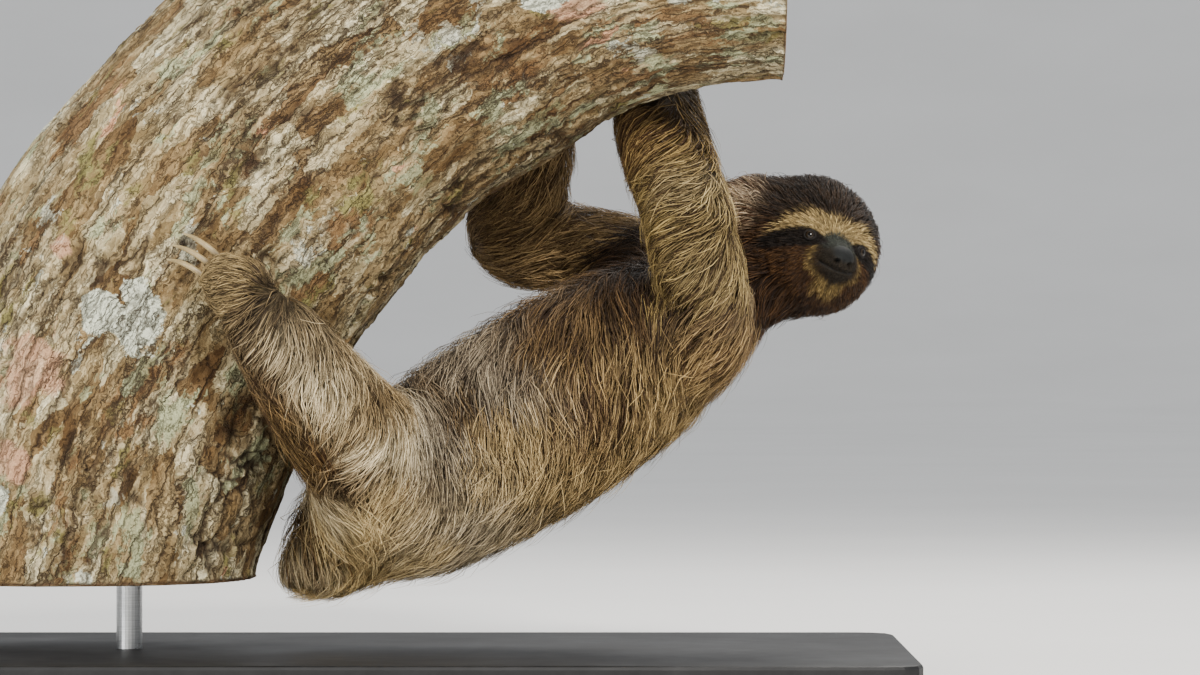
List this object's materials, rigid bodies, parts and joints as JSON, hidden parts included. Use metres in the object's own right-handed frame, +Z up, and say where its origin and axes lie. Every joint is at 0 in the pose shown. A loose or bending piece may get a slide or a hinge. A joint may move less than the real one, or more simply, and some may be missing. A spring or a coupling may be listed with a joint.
{
  "type": "three-toed sloth model",
  "caption": "Life-size museum model of a brown-throated three-toed sloth hanging belly-up from a bent bough on a flat display stand, its head turned to look out",
  "frame": {"origin": "Middle of the display base's flat underside, on the surface that it stands on.", "axes": "+X runs along the base from the sloth's rump to its head, +Y away from the side that the picture shows, +Z up."},
  "size_m": [0.82, 0.44, 0.6912],
  "materials": {
    "coat": "long coarse grey-brown and tan hair",
    "dark_coat": "short dark brown hair with a pale brow band and a black eye stripe",
    "eye": "glossy near-black brown",
    "claw_horn": "ivory horn, browner towards the root",
    "bark": "rough fissured grey-brown bark with pale lichen",
    "rod_steel": "brushed",
    "base_board": "satin black painted board"
  },
  "bodies": {
    "root": {"head": "dark_coat", "neck": "coat", "trunk": "coat", "tail": "coat", "upper_arm_near": "coat", "forearm_near": "coat", "hand_near": "coat", "upper_arm_far": "coat", "forearm_far": "coat", "hand_far": "coat", "thigh_near": "coat", "shank_near": "coat", "foot_near": "coat", "thigh_far": "coat", "shank_far": "coat", "foot_far": "coat", "eye_left": "eye", "eye_right": "eye", "claw_hand_near_1": "claw_horn", "claw_hand_near_2": "claw_horn", "claw_hand_near_3": "claw_horn", "claw_hand_far_1": "claw_horn", "claw_hand_far_2": "claw_horn", "claw_hand_far_3": "claw_horn", "claw_foot_near_1": "claw_horn", "claw_foot_near_2": "claw_horn", "claw_foot_near_3": "claw_horn", "claw_foot_far_1": "claw_horn", "claw_foot_far_2": "claw_horn", "claw_foot_far_3": "claw_horn", "perch": "bark", "stand_base": "base_board", "stand_rod_1": "rod_steel", "stand_rod_2": "rod_steel"}
  },
  "joints": []
}
